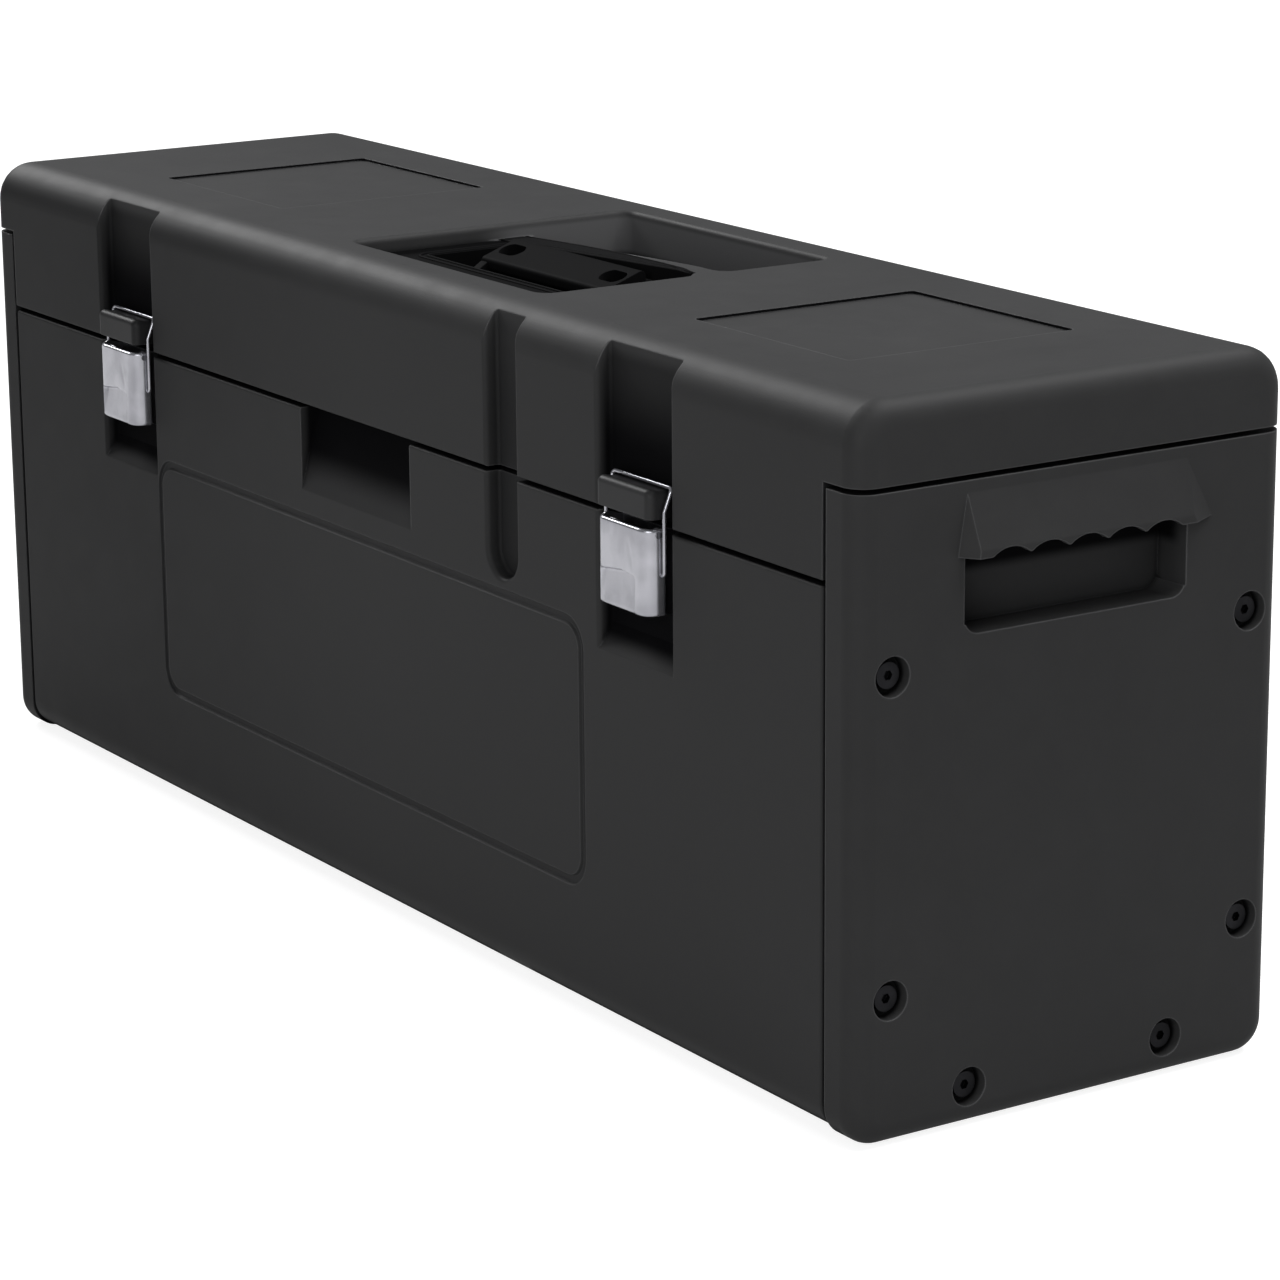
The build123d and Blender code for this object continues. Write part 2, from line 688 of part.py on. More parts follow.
hinge_rivet_places = [x + step * rivet_pitch for x in hinge_centres for step in (-1, 0, 1)]
for side, name in ((-1, "lower"), (1, "upper")):
    row = rivet_row(hinge_rivet_places, lid_seam_height + side * rivet_drop, half_depth - wall,
                    half_depth + leaf_thickness)
    save(row, "hinge_rivets_" + name)


# Draw latches
def latch_base(centre):
    """Base plate with two ears for the lever pin."""
    plate_face = channel_floor - base_sheet
    side_face = plate_face - base_side
    with BuildPart() as base:
        block((centre - base_half, centre + base_half), (plate_face, channel_floor),
              (base_top - base_length, base_top))
        for start in (centre - base_half, centre + base_half - base_sheet):
            with BuildSketch(Plane.YZ.offset(start)) as ear:
                with BuildLine():
                    Polyline((plate_face + 0.2, base_top - base_length), (side_face, base_top - base_length),
                             (side_face, base_top), (plate_face + 0.2, base_top), close=True)
                make_face()
                fillet(ear.vertices().group_by(Axis.X)[0].sort_by(Axis.Y)[0], base_corner)
                with BuildLine():
                    Polyline((plate_face, latch_pivot_height - ear_drop),
                             (latch_y, latch_pivot_height - ear_radius),
                             (latch_y, latch_pivot_height + ear_radius), (plate_face, base_top), close=True)
                make_face()
                with Locations((latch_y, latch_pivot_height)):
                    Circle(ear_radius)
            extrude(amount=base_sheet)
        add(bar_along_x((centre - lever_width, centre + lever_width), latch_y, latch_pivot_height,
                        latch_pin_radius + pin_clearance), mode=Mode.SUBTRACT)
        for z in latch_rivet_heights:
            for x in (centre - latch_rivet_x, centre + latch_rivet_x):
                hole_along_y(x, z, (plate_face - 1, channel_floor + 1), rivet_radius + rivet_clearance)
    return base.part


def latch_lever(centre):
    """Sheet lever with side flanges, a pressed finger hold and holes for the pin and the wire."""
    with BuildPart() as lever:
        with BuildSketch(Plane.XY.offset(lever_bottom)) as section:
            with Locations((centre, lever_front + lever_depth / 2)):
                Rectangle(lever_width, lever_depth)
            fillet(section.vertices().group_by(Axis.Y)[0], lever_corner)
        extrude(amount=lever_length)
        front_loop = lever.edges().group_by(Axis.Z)[0].filter_by(lambda edge: edge.center().Y < lever_front + 6)
        fillet(front_loop, lever_sheet)
        with BuildSketch(Plane.XY.offset(lever_bottom + lever_sheet)) as section:
            with Locations((centre, lever_front + lever_sheet + lever_depth / 2)):
                Rectangle(lever_width - 2 * lever_sheet, lever_depth)
            fillet(section.vertices().group_by(Axis.Y)[0], lever_corner - lever_sheet)
        extrude(amount=lever_length, mode=Mode.SUBTRACT)
        add(bar_along_x((centre - lever_width, centre + lever_width), latch_y, latch_pivot_height,
                        latch_pin_radius + pin_clearance), mode=Mode.SUBTRACT)
        add(bar_along_x((centre - lever_width, centre + lever_width), wire_y, wire_pivot_height,
                        wire_radius + pin_clearance), mode=Mode.SUBTRACT)
    return lever.part


def latch_wire(centre):
    """Bent wire that pivots in the lever and hooks over the keeper."""
    tail = lever_width / 2 - lever_sheet - wire_tail
    bar_y = front + wire_bar_inset
    path = [(centre - tail, wire_y, wire_pivot_height), (centre - wire_x, wire_y, wire_pivot_height),
            (centre - wire_x, wire_y, wire_bend_height), (centre - wire_x, bar_y, wire_bar_height),
            (centre + wire_x, bar_y, wire_bar_height), (centre + wire_x, wire_y, wire_bend_height),
            (centre + wire_x, wire_y, wire_pivot_height), (centre + tail, wire_y, wire_pivot_height)]
    with BuildPart() as wire:
        with BuildLine() as line:
            FilletPolyline(path, radius=wire_corner)
        with BuildSketch(Plane(path[0], x_dir=(0, 1, 0), z_dir=(-1, 0, 0))):
            Circle(wire_radius)
        sweep(path=line.line)
    return wire.part


def keeper(centre):
    """Block on the lid with a hollow seat on top for the bar of the wire."""
    turn_y = front + wire_bar_inset - (wire_y - latch_y)
    turn_z = wire_bar_height + latch_swing
    turn_radius = sqrt((wire_y - latch_y) ** 2 + latch_swing ** 2)
    with BuildPart() as hook:
        with BuildSketch(Plane.XY.offset(keeper_bottom)) as section:
            with Locations((centre, (keeper_front + channel_floor) / 2)):
                Rectangle(keeper_width, channel_floor - keeper_front)
            fillet(section.vertices().group_by(Axis.Y)[0], keeper_corner)
        extrude(amount=wire_bar_height + latch_swing / 2 - keeper_bottom)
        add(bar_along_x((centre - keeper_width, centre + keeper_width), turn_y, turn_z,
                        turn_radius + wire_radius + keeper_seat_gap), mode=Mode.SUBTRACT)
        front_face = hook.faces().filter_by(Axis.Y).sort_by(Axis.Y)[0]
        top_edge, foot_edge = front_face.edges().filter_by(Axis.X).sort_by(Axis.Z, reverse=True)
        fillet(top_edge, keeper_edge)
        front_face = hook.faces().filter_by(Axis.Y).sort_by(Axis.Y)[0]
        fillet(front_face.edges().filter_by(Axis.X).sort_by(Axis.Z)[0], keeper_foot_edge)
        for x in (centre - keeper_screw_x, centre + keeper_screw_x):
            hole_along_y(x, keeper_screw_height, (channel_floor - keeper_screw_bite - 0.3, channel_floor + 1),
                         keeper_screw_radius + rivet_clearance)
    return hook.part


with BuildPart() as keeper_screws:
    for centre in latch_centres:
        for x in (centre - keeper_screw_x, centre + keeper_screw_x):
            hole_along_y(x, keeper_screw_height, (keeper_screw_face, keeper_screw_face + keeper_screw_head_height),
                         keeper_screw_head, mode=Mode.ADD)
            hole_along_y(x, keeper_screw_height, (channel_floor - keeper_screw_bite, keeper_screw_face),
                         keeper_screw_radius, mode=Mode.ADD)
            with BuildSketch(Plane.XZ.offset(-keeper_screw_face - keeper_screw_head_height)):
                with Locations((x, keeper_screw_height)):
                    Rectangle(3.4, 0.8)
                    Rectangle(0.8, 3.4)
            extrude(amount=1, mode=Mode.SUBTRACT)
save(keeper_screws.part, "keeper_screws")

for centre, name in zip(latch_centres, ("left", "right")):
    save(latch_base(centre), "latch_base_" + name)
    save(latch_lever(centre), "latch_lever_" + name)
    save(latch_wire(centre), "latch_wire_" + name)
    save(keeper(centre), "keeper_" + name)
    with BuildPart() as pin:
        add(bar_along_x((centre - lever_width / 2 - 0.2, centre + lever_width / 2 + 0.2), latch_y,
                        latch_pivot_height, latch_pin_radius))
    save(pin.part, "latch_pin_" + name)
with BuildPart() as latch_rivets:
    for z in latch_rivet_heights:
        row_places = [x + step * latch_rivet_x for x in latch_centres for step in (-1, 1)]
        add(rivet_row(row_places, z, channel_floor + backing, channel_floor - base_sheet))
save(latch_rivets.part, "latch_rivets")

# Handle tray
with BuildPart() as handle_tray:
    with BuildSketch(Plane.XY.offset(well_ledge)):
        with Locations((well_x, (well_front + well_back) / 2)):
            RectangleRounded(well_length - 2 * tray_gap, well_back - well_front - 2 * tray_gap,
                             well_corner - tray_gap)
    extrude(amount=tray_flange)
    block((well_x - basin_length / 2 - basin_wall, well_x + basin_length / 2 + basin_wall),
          (basin_front - basin_wall, basin_back + basin_wall), (basin_floor - basin_wall, well_ledge))
    lower_edges = handle_tray.edges().filter_by(Axis.Z).filter_by(lambda edge: edge.center().Z < well_ledge)
    fillet(lower_edges, 4.0)
    with BuildSketch(Plane.XY.offset(tray_top)):
        with Locations((well_x, (basin_front + basin_back) / 2)):
            RectangleRounded(basin_length, basin_back - basin_front, 3.0)
    extrude(amount=basin_floor - tray_top, mode=Mode.SUBTRACT)
    for side in (-1, 1):
        near = well_x + side * lug_start
        far = well_x + side * (lug_start + lug_width)
        block((min(near, far), max(near, far)),
              (basin_front, handle_pivot_y + handle_boss_radius), (basin_floor, handle_pivot_z + handle_boss_radius))
        pad = well_x + side * rest_pad_x
        block((pad - rest_pad_width / 2, pad + rest_pad_width / 2), (rest_pad_front, basin_back),
              (basin_floor, rest_pad_top - pin_clearance))
    add(bar_along_x((well_x - lug_start - lug_width, well_x + lug_start + lug_width), handle_pivot_y,
                    handle_pivot_z, handle_pin_radius + pin_clearance), mode=Mode.SUBTRACT)
    with BuildSketch(Plane.XY.offset(well_ledge)):
        for x in (well_x - tray_screw_x, well_x + tray_screw_x):
            with Locations((x, tray_screw_y[0]), (x, tray_screw_y[1])):
                Circle(tray_screw_radius + rivet_clearance)
    extrude(amount=tray_screw_bite + 0.2, mode=Mode.SUBTRACT)
save(handle_tray.part, "handle_tray")

with BuildPart() as tray_screws:
    ledge_under = well_ledge - well_floor
    for x in (well_x - tray_screw_x, well_x + tray_screw_x):
        for y in tray_screw_y:
            with BuildSketch(Plane.XY.offset(ledge_under)):
                with Locations((x, y)):
                    Circle(tray_screw_head)
            extrude(amount=-tray_screw_head_height)
            with BuildSketch(Plane.XY.offset(ledge_under)):
                with Locations((x, y)):
                    Circle(tray_screw_radius)
            extrude(amount=well_floor + tray_screw_bite)
save(tray_screws.part, "tray_screws")

# Carry handle and its pins
with BuildPart() as carry_handle:
    with BuildSketch(Plane.YZ.offset(well_x - handle_length / 2)):
        with BuildLine():
            Polyline((grip_front, grip_front_height), (grip_back, grip_back_height),
                     (grip_back, grip_back_height - grip_drop), (grip_front, grip_front_height - grip_drop),
                     close=True)
        make_face()
        fillet(vertices(), 2.5)
    extrude(amount=handle_length)
    for side in (-1, 1):
        near = well_x + side * (handle_length / 2 - handle_arm)
        far = well_x + side * handle_length / 2
        with BuildSketch(Plane.YZ.offset(min(near, far))):
            with BuildLine():
                Polyline((handle_pivot_y - 3, handle_pivot_z + 4), (grip_front + 1, grip_front_height - 1),
                         (grip_front + 16, grip_front_height - 1), (grip_front + 4, grip_front_height - 9),
                         (handle_pivot_y + 4, handle_pivot_z - 3), close=True)
            make_face()
            with Locations((handle_pivot_y, handle_pivot_z)):
                Circle(handle_boss_radius)
        extrude(amount=handle_arm)
    add(bar_along_x((well_x - handle_length, well_x + handle_length), handle_pivot_y, handle_pivot_z,
                    handle_pin_radius + pin_clearance), mode=Mode.SUBTRACT)
    middle = Vector(well_x, (grip_front + grip_back) / 2, (grip_front_height + grip_back_height) / 2)
    grip_plane = Plane(middle, x_dir=(1, 0, 0), z_dir=(0, -sin(radians(grip_tilt)), cos(radians(grip_tilt))))
    with BuildSketch(grip_plane):
        with Locations((-handle_slot_x, 0), (handle_slot_x, 0)):
            SlotOverall(handle_slot_length, handle_slot_width)
    extrude(amount=air, both=True, mode=Mode.SUBTRACT)
print("handle", carry_handle.part.is_valid, len(carry_handle.part.solids()))
save(carry_handle.part, "carry_handle")

with BuildPart() as handle_pins:
    for side in (-1, 1):
        near = well_x + side * (lug_start + lug_width)
        far = well_x + side * (lug_start + lug_width - handle_pin_grip)
        add(bar_along_x((min(near, far), max(near, far)), handle_pivot_y, handle_pivot_z, handle_pin_radius))
save(handle_pins.part, "handle_pins")
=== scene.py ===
# %% [markdown]
# # A long moulded carrying case
# The solids of this case come packed from the CAD step. This lesson loads them as a fixed frame,
# gives every one a finish worked out from nodes, and adds the pieces whose charm is in their surface:
# pressed latch levers, a carry handle and tray with soft edges, and thin trims round the tray. All
# lengths are in metres. X runs along the case, the front faces -Y, and Z is up from the floor.

# %% Load the frame
import json
import math
import bmesh
import bpy
import numpy as np
from mathutils import Matrix, Vector


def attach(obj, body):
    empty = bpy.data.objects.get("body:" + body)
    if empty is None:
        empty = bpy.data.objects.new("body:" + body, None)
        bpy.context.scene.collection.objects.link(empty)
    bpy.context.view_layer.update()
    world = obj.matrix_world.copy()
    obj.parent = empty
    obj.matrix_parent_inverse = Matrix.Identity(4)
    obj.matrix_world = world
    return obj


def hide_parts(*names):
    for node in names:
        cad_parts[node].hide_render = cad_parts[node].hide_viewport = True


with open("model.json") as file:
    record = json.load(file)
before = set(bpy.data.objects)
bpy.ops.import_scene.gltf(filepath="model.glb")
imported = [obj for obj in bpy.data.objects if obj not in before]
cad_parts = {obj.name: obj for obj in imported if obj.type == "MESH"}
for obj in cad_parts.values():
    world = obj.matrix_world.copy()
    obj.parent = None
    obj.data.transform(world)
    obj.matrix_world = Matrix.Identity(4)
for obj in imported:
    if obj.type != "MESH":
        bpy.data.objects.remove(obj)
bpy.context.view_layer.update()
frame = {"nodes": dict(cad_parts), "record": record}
nodes = frame["nodes"]
scene = bpy.context.scene
scene.view_settings.view_transform = "Standard"

# %% [markdown]
# ## The camera
# A product photograph is taken from far away with a long lens, so that the case hardly narrows towards
# the back. The place and the turn of the camera were solved from corners of the case whose sizes are
# known. A camera looks along its own -Z, with +Y up, so its matrix is built from three directions.

# %% Camera
eye = Vector((1.8305, -1.1415, 0.6911))
yaw, pitch, roll = 0.994764, 0.258201, -0.008359
ahead = Vector((-math.sin(yaw) * math.cos(pitch), math.cos(yaw) * math.cos(pitch), -math.sin(pitch)))
level = Vector((math.cos(yaw), math.sin(yaw), 0.0))
upward = level.cross(ahead)
side_axis = level * math.cos(roll) + upward * math.sin(roll)
up_axis = upward * math.cos(roll) - level * math.sin(roll)
camera = bpy.data.objects.new("camera", bpy.data.cameras.new("camera"))
camera.data.sensor_width = 36.0
camera.data.lens = 121.2
camera.data.clip_start = 0.05
turn = Matrix((side_axis, up_axis, -ahead)).transposed()
camera.matrix_world = Matrix.Translation(eye) @ turn.to_4x4()
scene.collection.objects.link(camera)
scene.camera = camera
print("lens", camera.data.lens)

# %% [markdown]
# ## Shader maths as plain sums
# A finish is a formula: noise times a little, plus a colour. Wrapping a node's socket in a small class
# lets the formula be written as one, and each plus or times adds the Math node that it needs.


# %% Socket class
class Socket:
    """An output socket of a node tree that can be used in sums."""

    def __init__(self, tree, socket):
        self.tree = tree
        self.socket = socket

    def make(self, kind, inputs=None, out=0, **settings):
        """Add any node: its settings first, then values or links for its inputs."""
        node = self.tree.nodes.new(kind)
        for name, value in settings.items():
            setattr(node, name, value)
        for name, value in (inputs or {}).items():
            if isinstance(value, Socket):
                self.tree.links.new(value.socket, node.inputs[name])
            else:
                node.inputs[name].default_value = value
        return Socket(self.tree, node.outputs[out] if out is not None else None)

    def output(self, which):
        """Another output of the same node."""
        return Socket(self.tree, self.socket.node.outputs[which])

    def maths(self, operation, *values):
        """One Math node on the given values."""
        return self.make("ShaderNodeMath", dict(enumerate(values)), operation=operation)

    def __add__(self, other):
        return self.maths("ADD", self, other)

    def __sub__(self, other):
        return self.maths("SUBTRACT", self, other)

    def __rsub__(self, other):
        return self.maths("SUBTRACT", other, self)

    def __mul__(self, other):
        return self.maths("MULTIPLY", self, other)

    def __pow__(self, other):
        return self.maths("POWER", self, other)

    __radd__ = __add__

    def size(self):
        """This value without its sign."""
        return self.maths("ABSOLUTE", self)

    def at_least(self, other):
        """The larger of this and another value."""
        return self.maths("MAXIMUM", self, other)

    def step(self, low, high):
        """0 below low, 1 above high, smooth between."""
        return self.make("ShaderNodeMapRange", {"Value": self, "From Min": low, "From Max": high},
                         interpolation_type="SMOOTHSTEP")

    def over(self, limit, soft):
        """0 up to a limit, then 1 past a soft border of the given width."""
        return (self - limit).step(0.0, soft)

    def under(self, limit, soft):
        """1 until a soft border of the given width, then 0 from the limit on."""
        return (limit - self).step(0.0, soft)

    def tint(self, dark, light):
        """Mix of two colours, or sockets, by this socket."""
        dark, light = (side if isinstance(side, Socket) else (*side, 1) for side in (dark, light))
        return self.make("ShaderNodeMix", {0: self, 6: dark, 7: light}, out=2, data_type="RGBA")


# %% [markdown]
# ## Studio light
# Dark plastic is seen by what it mirrors, so the studio is mostly large pale panels. A wide one overhead
# lights the lid, a far one stands high at the left, and two weaker ones face the front and the right
# end. The background is white for the camera and for light that has passed through something. All other
# light finds it dim there, so that it adds little to the case.

# %% Lamps and world
studio_dim = 0.17


def panel_light(name, place, target, size, power):
    """Rectangular area lamp that stands at a place and faces a target."""
    lamp = bpy.data.lights.new(name, "AREA")
    lamp.shape = "RECTANGLE"
    lamp.size, lamp.size_y = size
    lamp.energy = power
    holder = bpy.data.objects.new(name, lamp)
    holder.location = place
    holder.rotation_euler = (Vector(target) - Vector(place)).to_track_quat("-Z", "Y").to_euler()
    scene.collection.objects.link(holder)


panel_light("overhead", (0.5, 0.9, 2.4), (0, 0, 0.3), (2.2, 1.6), 72)
panel_light("left_high", (-4.9, -0.25, 3.4), (0, 0, 0.3), (2.6, 1.6), 185)
panel_light("front_panel", (1.55, -1.9, 0.9), (0.3, 0, 0.2), (1.4, 1.2), 20)
panel_light("end_panel", (2.8, 0.4, 1.2), (0.4, 0, 0.2), (1.4, 1.4), 3.7)
world = bpy.data.worlds.new("studio")
world.use_nodes = True
scene.world = world
world.node_tree.nodes.clear()
rays = Socket(world.node_tree, None).make("ShaderNodeLightPath")
seen = rays.output("Is Camera Ray").at_least(rays.output("Is Transmission Ray"))
white = seen.make("ShaderNodeBackground", {"Color": (1, 1, 1, 1)})
dim = seen.make("ShaderNodeBackground", {"Color": (0.95, 0.97, 1.0, 1), "Strength": studio_dim})
blend = seen.make("ShaderNodeMixShader", {0: seen, 1: dim, 2: white})
blend.make("ShaderNodeOutputWorld", {"Surface": blend}, out=None)
print("lamps", [light.name for light in bpy.data.lights])

# %% [markdown]
# ## Parts of a material
# Every material starts from the Object coordinate, which stays with a piece when it moves. These helpers
# make the noise, the bump and the shader that all of the finishes below share.

# %% Material helpers
bevel_samples = 6


def new_material(name):
    """Empty material, and a wrapped Object coordinate to start its formulas from."""
    material = bpy.data.materials.new(name)
    material.use_nodes = True
    material.node_tree.nodes.clear()
    start = Socket(material.node_tree, None)
    return material, start.make("ShaderNodeTexCoord", out="Object")


def finish_material(material, shader):
    """Link a shader to the output of its material."""
    shader.make("ShaderNodeOutputMaterial", {"Surface": shader}, out=None)
    return material


def noise(place, scale, detail, rough=0.5, distort=0.0):
    """Cloudy noise from 0 to 1, with scale in blobs to the metre."""
    inputs = {"Vector": place, "Scale": scale, "Detail": detail, "Roughness": rough, "Distortion": distort}
    return place.make("ShaderNodeTexNoise", inputs)


def rounded_normal(place, radius):
    """Normal of the surface as if its edges were rounded by a radius."""
    return place.make("ShaderNodeBevel", {"Radius": radius}, samples=bevel_samples)


def bump(place, height, distance, edge):
    """Normal from a height in metres, on edges that look rounded by the given radius."""
    inputs = {"Height": height, "Distance": distance, "Normal": rounded_normal(place, edge)}
    return place.make("ShaderNodeBump", inputs)


def surface(place, **sockets):
    """Principled shader with the given sockets."""
    names = {"color": "Base Color", "rough": "Roughness", "metal": "Metallic", "normal": "Normal",
             "specular": "Specular IOR Level"}
    return place.make("ShaderNodeBsdfPrincipled", {names[key]: value for key, value in sockets.items()})


# %% [markdown]
# ## Where shade and light are painted on the plastic
# Light hardly reaches into the channels of the front, the hand grips and the engraved lines round the
# fields in the lid, so shade is painted there and a matt black shader is mixed in. The walls of the pocket
# behind the handle get painted light instead. Each mask below finds one of these places from x, y and z
# alone. It is a product of soft borders, so that it is 1 inside the place and 0 outside.

# %% Masks of the plastic
case_top, case_half_length = 0.330, 0.420
rounding_y, rounding_z, rounding_radius = -0.0975, 0.310, 0.020
groove_x, groove_half = 0.1348, 0.0150
left_field_x, left_field_half = -0.243, 0.0680
right_field_x, right_field_half = 0.277, 0.0620
pocket_x, pocket_half = 0.028, 0.0935


def front_recess_shade(x, y, z):
    """Painted shade behind the rounded front, from the depth: its radius minus the distance to the line
    that it turns on.
    """
    forward = (rounding_y - y).at_least(0.0)
    upward = (z - rounding_z).at_least(0.0)
    depth = rounding_radius - (forward * forward + upward * upward) ** 0.5
    depth = depth * y.under(-0.0985, 0.002) * x.size().under(0.4075, 0.002)
    # Painted shade: half strength in the top 12 mm, nearly full lower down; the groove keeps less of it.
    lower = 0.50 + (case_top - z).step(0.012, 0.052) * 0.48
    groove = (x - groove_x).size().under(groove_half, 0.0004)
    return depth.step(0.0010, 0.0060) * lower * (1 - groove * 0.65)


def end_recess_shade(x, y, z):
    """Painted shade in the hand grips behind the end faces, below the hood: stronger the deeper it goes,
    and strongest above 244 mm, under the hood.
    """
    outward = x.size()
    depth = (case_half_length - outward).step(0.0025, 0.012) * outward.over(0.3985, 0.001)
    grip = y.size().under(0.1050, 0.002) * z.under(0.2915, 0.001)
    return depth * grip * (0.10 + z.over(0.2440, 0.0060) * 0.87)


def field_wall_shade(x, y, z):
    """Painted shade on the thin band of height that holds the walls of the two shallow fields in the lid.
    """
    left = (x - left_field_x).size().under(left_field_half, 0.0001)
    right = (x - right_field_x).size().under(right_field_half, 0.0001)
    band = z.over(0.3286, 0.0002) * z.under(0.3299, 0.0001)
    return (left + right) * band * y.size().under(0.0640, 0.0002)


def pocket_painted_light(x, y, z):
    """Painted light on the walls of the pocket behind the handle, above its floor: their colour is lifted
    as if they caught more light than most.
    """
    length = (x - pocket_x).size().under(pocket_half, 0.0010)
    depth = y.over(-0.0120, 0.0300) * y.under(0.0840, 0.0010)
    return length * depth * z.under(0.3285, 0.0030) * z.over(0.3064, 0.0040)


def edge_wear_and_highlight(place, radius):
    """Edges to lighten for wear and as a painted highlight: where the rounded normal leaves the true one,
    1 minus their dot product, on open edges only. The openness returned with it paints shade in corners.
    """
    rounded = rounded_normal(place, radius)
    true = place.make("ShaderNodeNewGeometry", out="Normal")
    same = place.make("ShaderNodeVectorMath", {0: rounded, 1: true}, out="Value", operation="DOT_PRODUCT")
    openness = place.make("ShaderNodeAmbientOcclusion", {"Distance": 0.004}, out="AO",
                          samples=bevel_samples)
    return (1 - same).step(0.015, 0.22) * openness.step(0.5, 0.8), openness


# %% [markdown]
# ## Moulded plastic
# The case is moulded from dark plastic with a fine etched grain. The mould leaves cloudy patches of
# gloss, and years of handling rub the grain shiny. One formula gives all plastics, with colours and gloss
# as its inputs. A Bevel node rounds the shading of sharp CAD edges, which is how they catch light. Their
# colour is also lightened, for wear and as a painted highlight. Shade is painted into recesses, corners
# and the left of the front, and light onto the walls of the pocket behind the handle.


# %% Moulded plastic
def moulded_plastic(name, shade_and_matt_colour, unshaded_colour, wear_and_highlight, rough, grain, edge, gloss, matt=0.0):
    """Plastic with painted shade in its recesses, corners and the left of the front, painted light in the
    rear pocket, grain, edges lightened for wear and as a painted highlight, and cloudy gloss.
    """
    material, place = new_material(name)
    split = place.make("ShaderNodeSeparateXYZ", {0: place})
    x, y, z = (split.output(axis) for axis in "XYZ")
    clouds = noise(place, 7.0, 4.0)
    fine = noise(place, 1700.0, 2.0, 0.6)
    rub = noise(place, 55.0, 5.0, 0.7, 0.4)
    edges, openness = edge_wear_and_highlight(place, edge)
    pocket_light = pocket_painted_light(x, y, z)
    # Painted shade: the front darkens towards its left end.
    shadow_side = y.under(-0.1120, 0.0050) * x.under(0.0400, 0.3000)
    # Painted shade: colour darkens in corners by ambient occlusion, besides random cloudy tone; the rear
    # pocket walls are lifted as painted light.
    tone_and_shade = (0.15 + openness.step(0.35, 0.92) * 0.85) * (0.85 + (clouds - 0.5) * 0.25 + (rub - 0.5) * 0.2)
    tone_and_shade = (tone_and_shade * (1 - shadow_side * 0.42)).at_least(pocket_light * 0.95)
    # Edges are lightened for wear and as a painted highlight, and the pocket walls as painted light.
    colour = (edges * (0.50 + rub * 0.5) + pocket_light * 0.62).tint(tone_and_shade.tint(shade_and_matt_colour, unshaded_colour), wear_and_highlight)
    sheen = rough + (rub - 0.5) * 0.14 + (clouds - 0.5) * 0.1 - edges * 0.12
    normal = bump(place, fine + rub * 0.25, grain, edge)
    outside = surface(place, color=colour, rough=sheen, normal=normal, specular=gloss)
    # Painted shade: a matt black shader is mixed in over the recesses and the field walls; matt plastics
    # take it as their own finish.
    shade_and_matt_shader = surface(place, color=(*shade_and_matt_colour, 1), rough=0.85, specular=0.02)
    recess_shade = 1 - (1 - front_recess_shade(x, y, z)) * (1 - end_recess_shade(x, y, z))
    painted_shade_and_matt = recess_shade.at_least(field_wall_shade(x, y, z) * 0.97).at_least(matt)
    return finish_material(material, place.make("ShaderNodeMixShader", {0: painted_shade_and_matt, 1: outside, 2: shade_and_matt_shader}))


plastics = {
    "case_plastic": dict(shade_and_matt_colour=(0.0035, 0.0035, 0.0040), unshaded_colour=(0.044, 0.044, 0.0445),
                         wear_and_highlight=(0.145, 0.145, 0.148), rough=0.50, grain=0.00005, edge=0.0014, gloss=0.07),
    "black_plastic": dict(shade_and_matt_colour=(0.0030, 0.0030, 0.0032), unshaded_colour=(0.0060, 0.0060, 0.0063),
                          wear_and_highlight=(0.010, 0.010, 0.0105), rough=0.50, grain=0.00004, edge=0.0008, gloss=0.03,
                          matt=0.90),
    "handle_plastic": dict(shade_and_matt_colour=(0.0045, 0.0045, 0.0048), unshaded_colour=(0.0065, 0.0065, 0.0068),
                           wear_and_highlight=(0.0110, 0.0110, 0.0115), rough=0.50, grain=0.00004, edge=0.0008,
                           gloss=0.03, matt=0.80),
    "keeper_plastic": dict(shade_and_matt_colour=(0.0035, 0.0035, 0.0040), unshaded_colour=(0.036, 0.036, 0.037),
                           wear_and_highlight=(0.110, 0.110, 0.112), rough=0.44, grain=0.00004, edge=0.0012, gloss=0.15),
    "seal_rubber": dict(shade_and_matt_colour=(0.003, 0.003, 0.003), unshaded_colour=(0.007, 0.007, 0.007),
                        wear_and_highlight=(0.010, 0.010, 0.010), rough=0.70, grain=0.00008, edge=0.0005, gloss=0.10),
}
finishes = {name: moulded_plastic(name, **look) for name, look in plastics.items()}
print("plastics", list(plastics))

# %% [markdown]
# ## Plated metal
# The latches are pressed from sheet and plated bright, so they mirror the room. Drawing the sheet through
# rollers leaves fine lines in one direction, made here with noise that is stretched along the height.

# %% Metals
line_stretch = 0.06


def plated_metal(name, dark, light, rough, metal=1.0):
    """Plated sheet with faint drawing lines and cloudy tarnish."""
    material, place = new_material(name)
    stretched = place.make("ShaderNodeMapping", {"Vector": place, "Scale": (1.0, 1.0, line_stretch)})
    lines = noise(stretched, 900.0, 2.0)
    clouds = noise(place, 45.0, 4.0)
    colour = clouds.step(0.35, 0.7).tint(dark, light)
    sheen = rough + (lines - 0.5) * 0.08 + (clouds - 0.5) * 0.06
    normal = bump(place, lines, 0.00001, 0.0004)
    return finish_material(material, surface(place, color=colour, rough=sheen, normal=normal, metal=metal))


metals = {
    "plated_steel": dict(dark=(0.40, 0.40, 0.435), light=(0.56, 0.56, 0.60), rough=0.24, metal=0.78),
    "zinc_steel": dict(dark=(0.26, 0.26, 0.275), light=(0.38, 0.38, 0.40), rough=0.30),
    "black_steel": dict(dark=(0.012, 0.012, 0.013), light=(0.022, 0.022, 0.024), rough=0.36),
}
finishes.update({name: plated_metal(name, **look) for name, look in metals.items()})
print("metals", list(metals))

